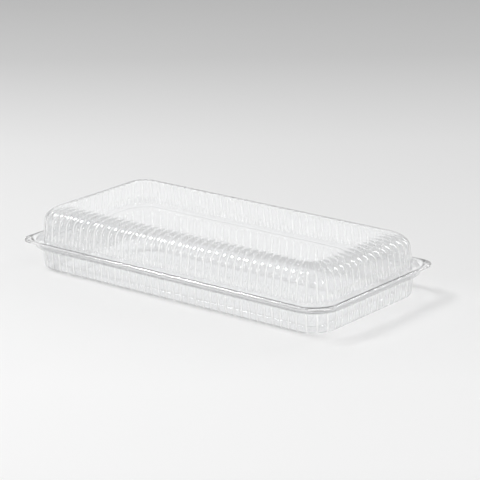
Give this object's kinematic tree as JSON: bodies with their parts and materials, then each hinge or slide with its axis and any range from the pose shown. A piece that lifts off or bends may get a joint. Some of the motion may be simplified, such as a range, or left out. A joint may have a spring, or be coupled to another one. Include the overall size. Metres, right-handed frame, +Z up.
{
  "type": "plastic pastry container",
  "caption": "Clear hinged pastry container: fluted dome lid with flat top panel over a shallow fluted base, joined at a fold along the back of the rim.",
  "frame": {"origin": "on the table under the middle of the closed container", "axes": "+X along the long side, +Y towards the hinge fold at the back, +Z up"},
  "size_m": [0.396, 0.195, 0.0655],
  "materials": {
    "clear_lid": "clear glossy thermoformed sheet",
    "clear_base": "clear glossy thermoformed sheet"
  },
  "bodies": {
    "base": {"base_tray": "clear_base"},
    "lid": {"lid_dome": "clear_lid"}
  },
  "joints": [
    {"name": "lid_hinge", "type": "hinge", "parent": "base", "child": "lid", "pos_m": [0, 0.09765, 0.03015], "axis": [-1, 0, 0], "range_deg": [0, 165]}
  ]
}
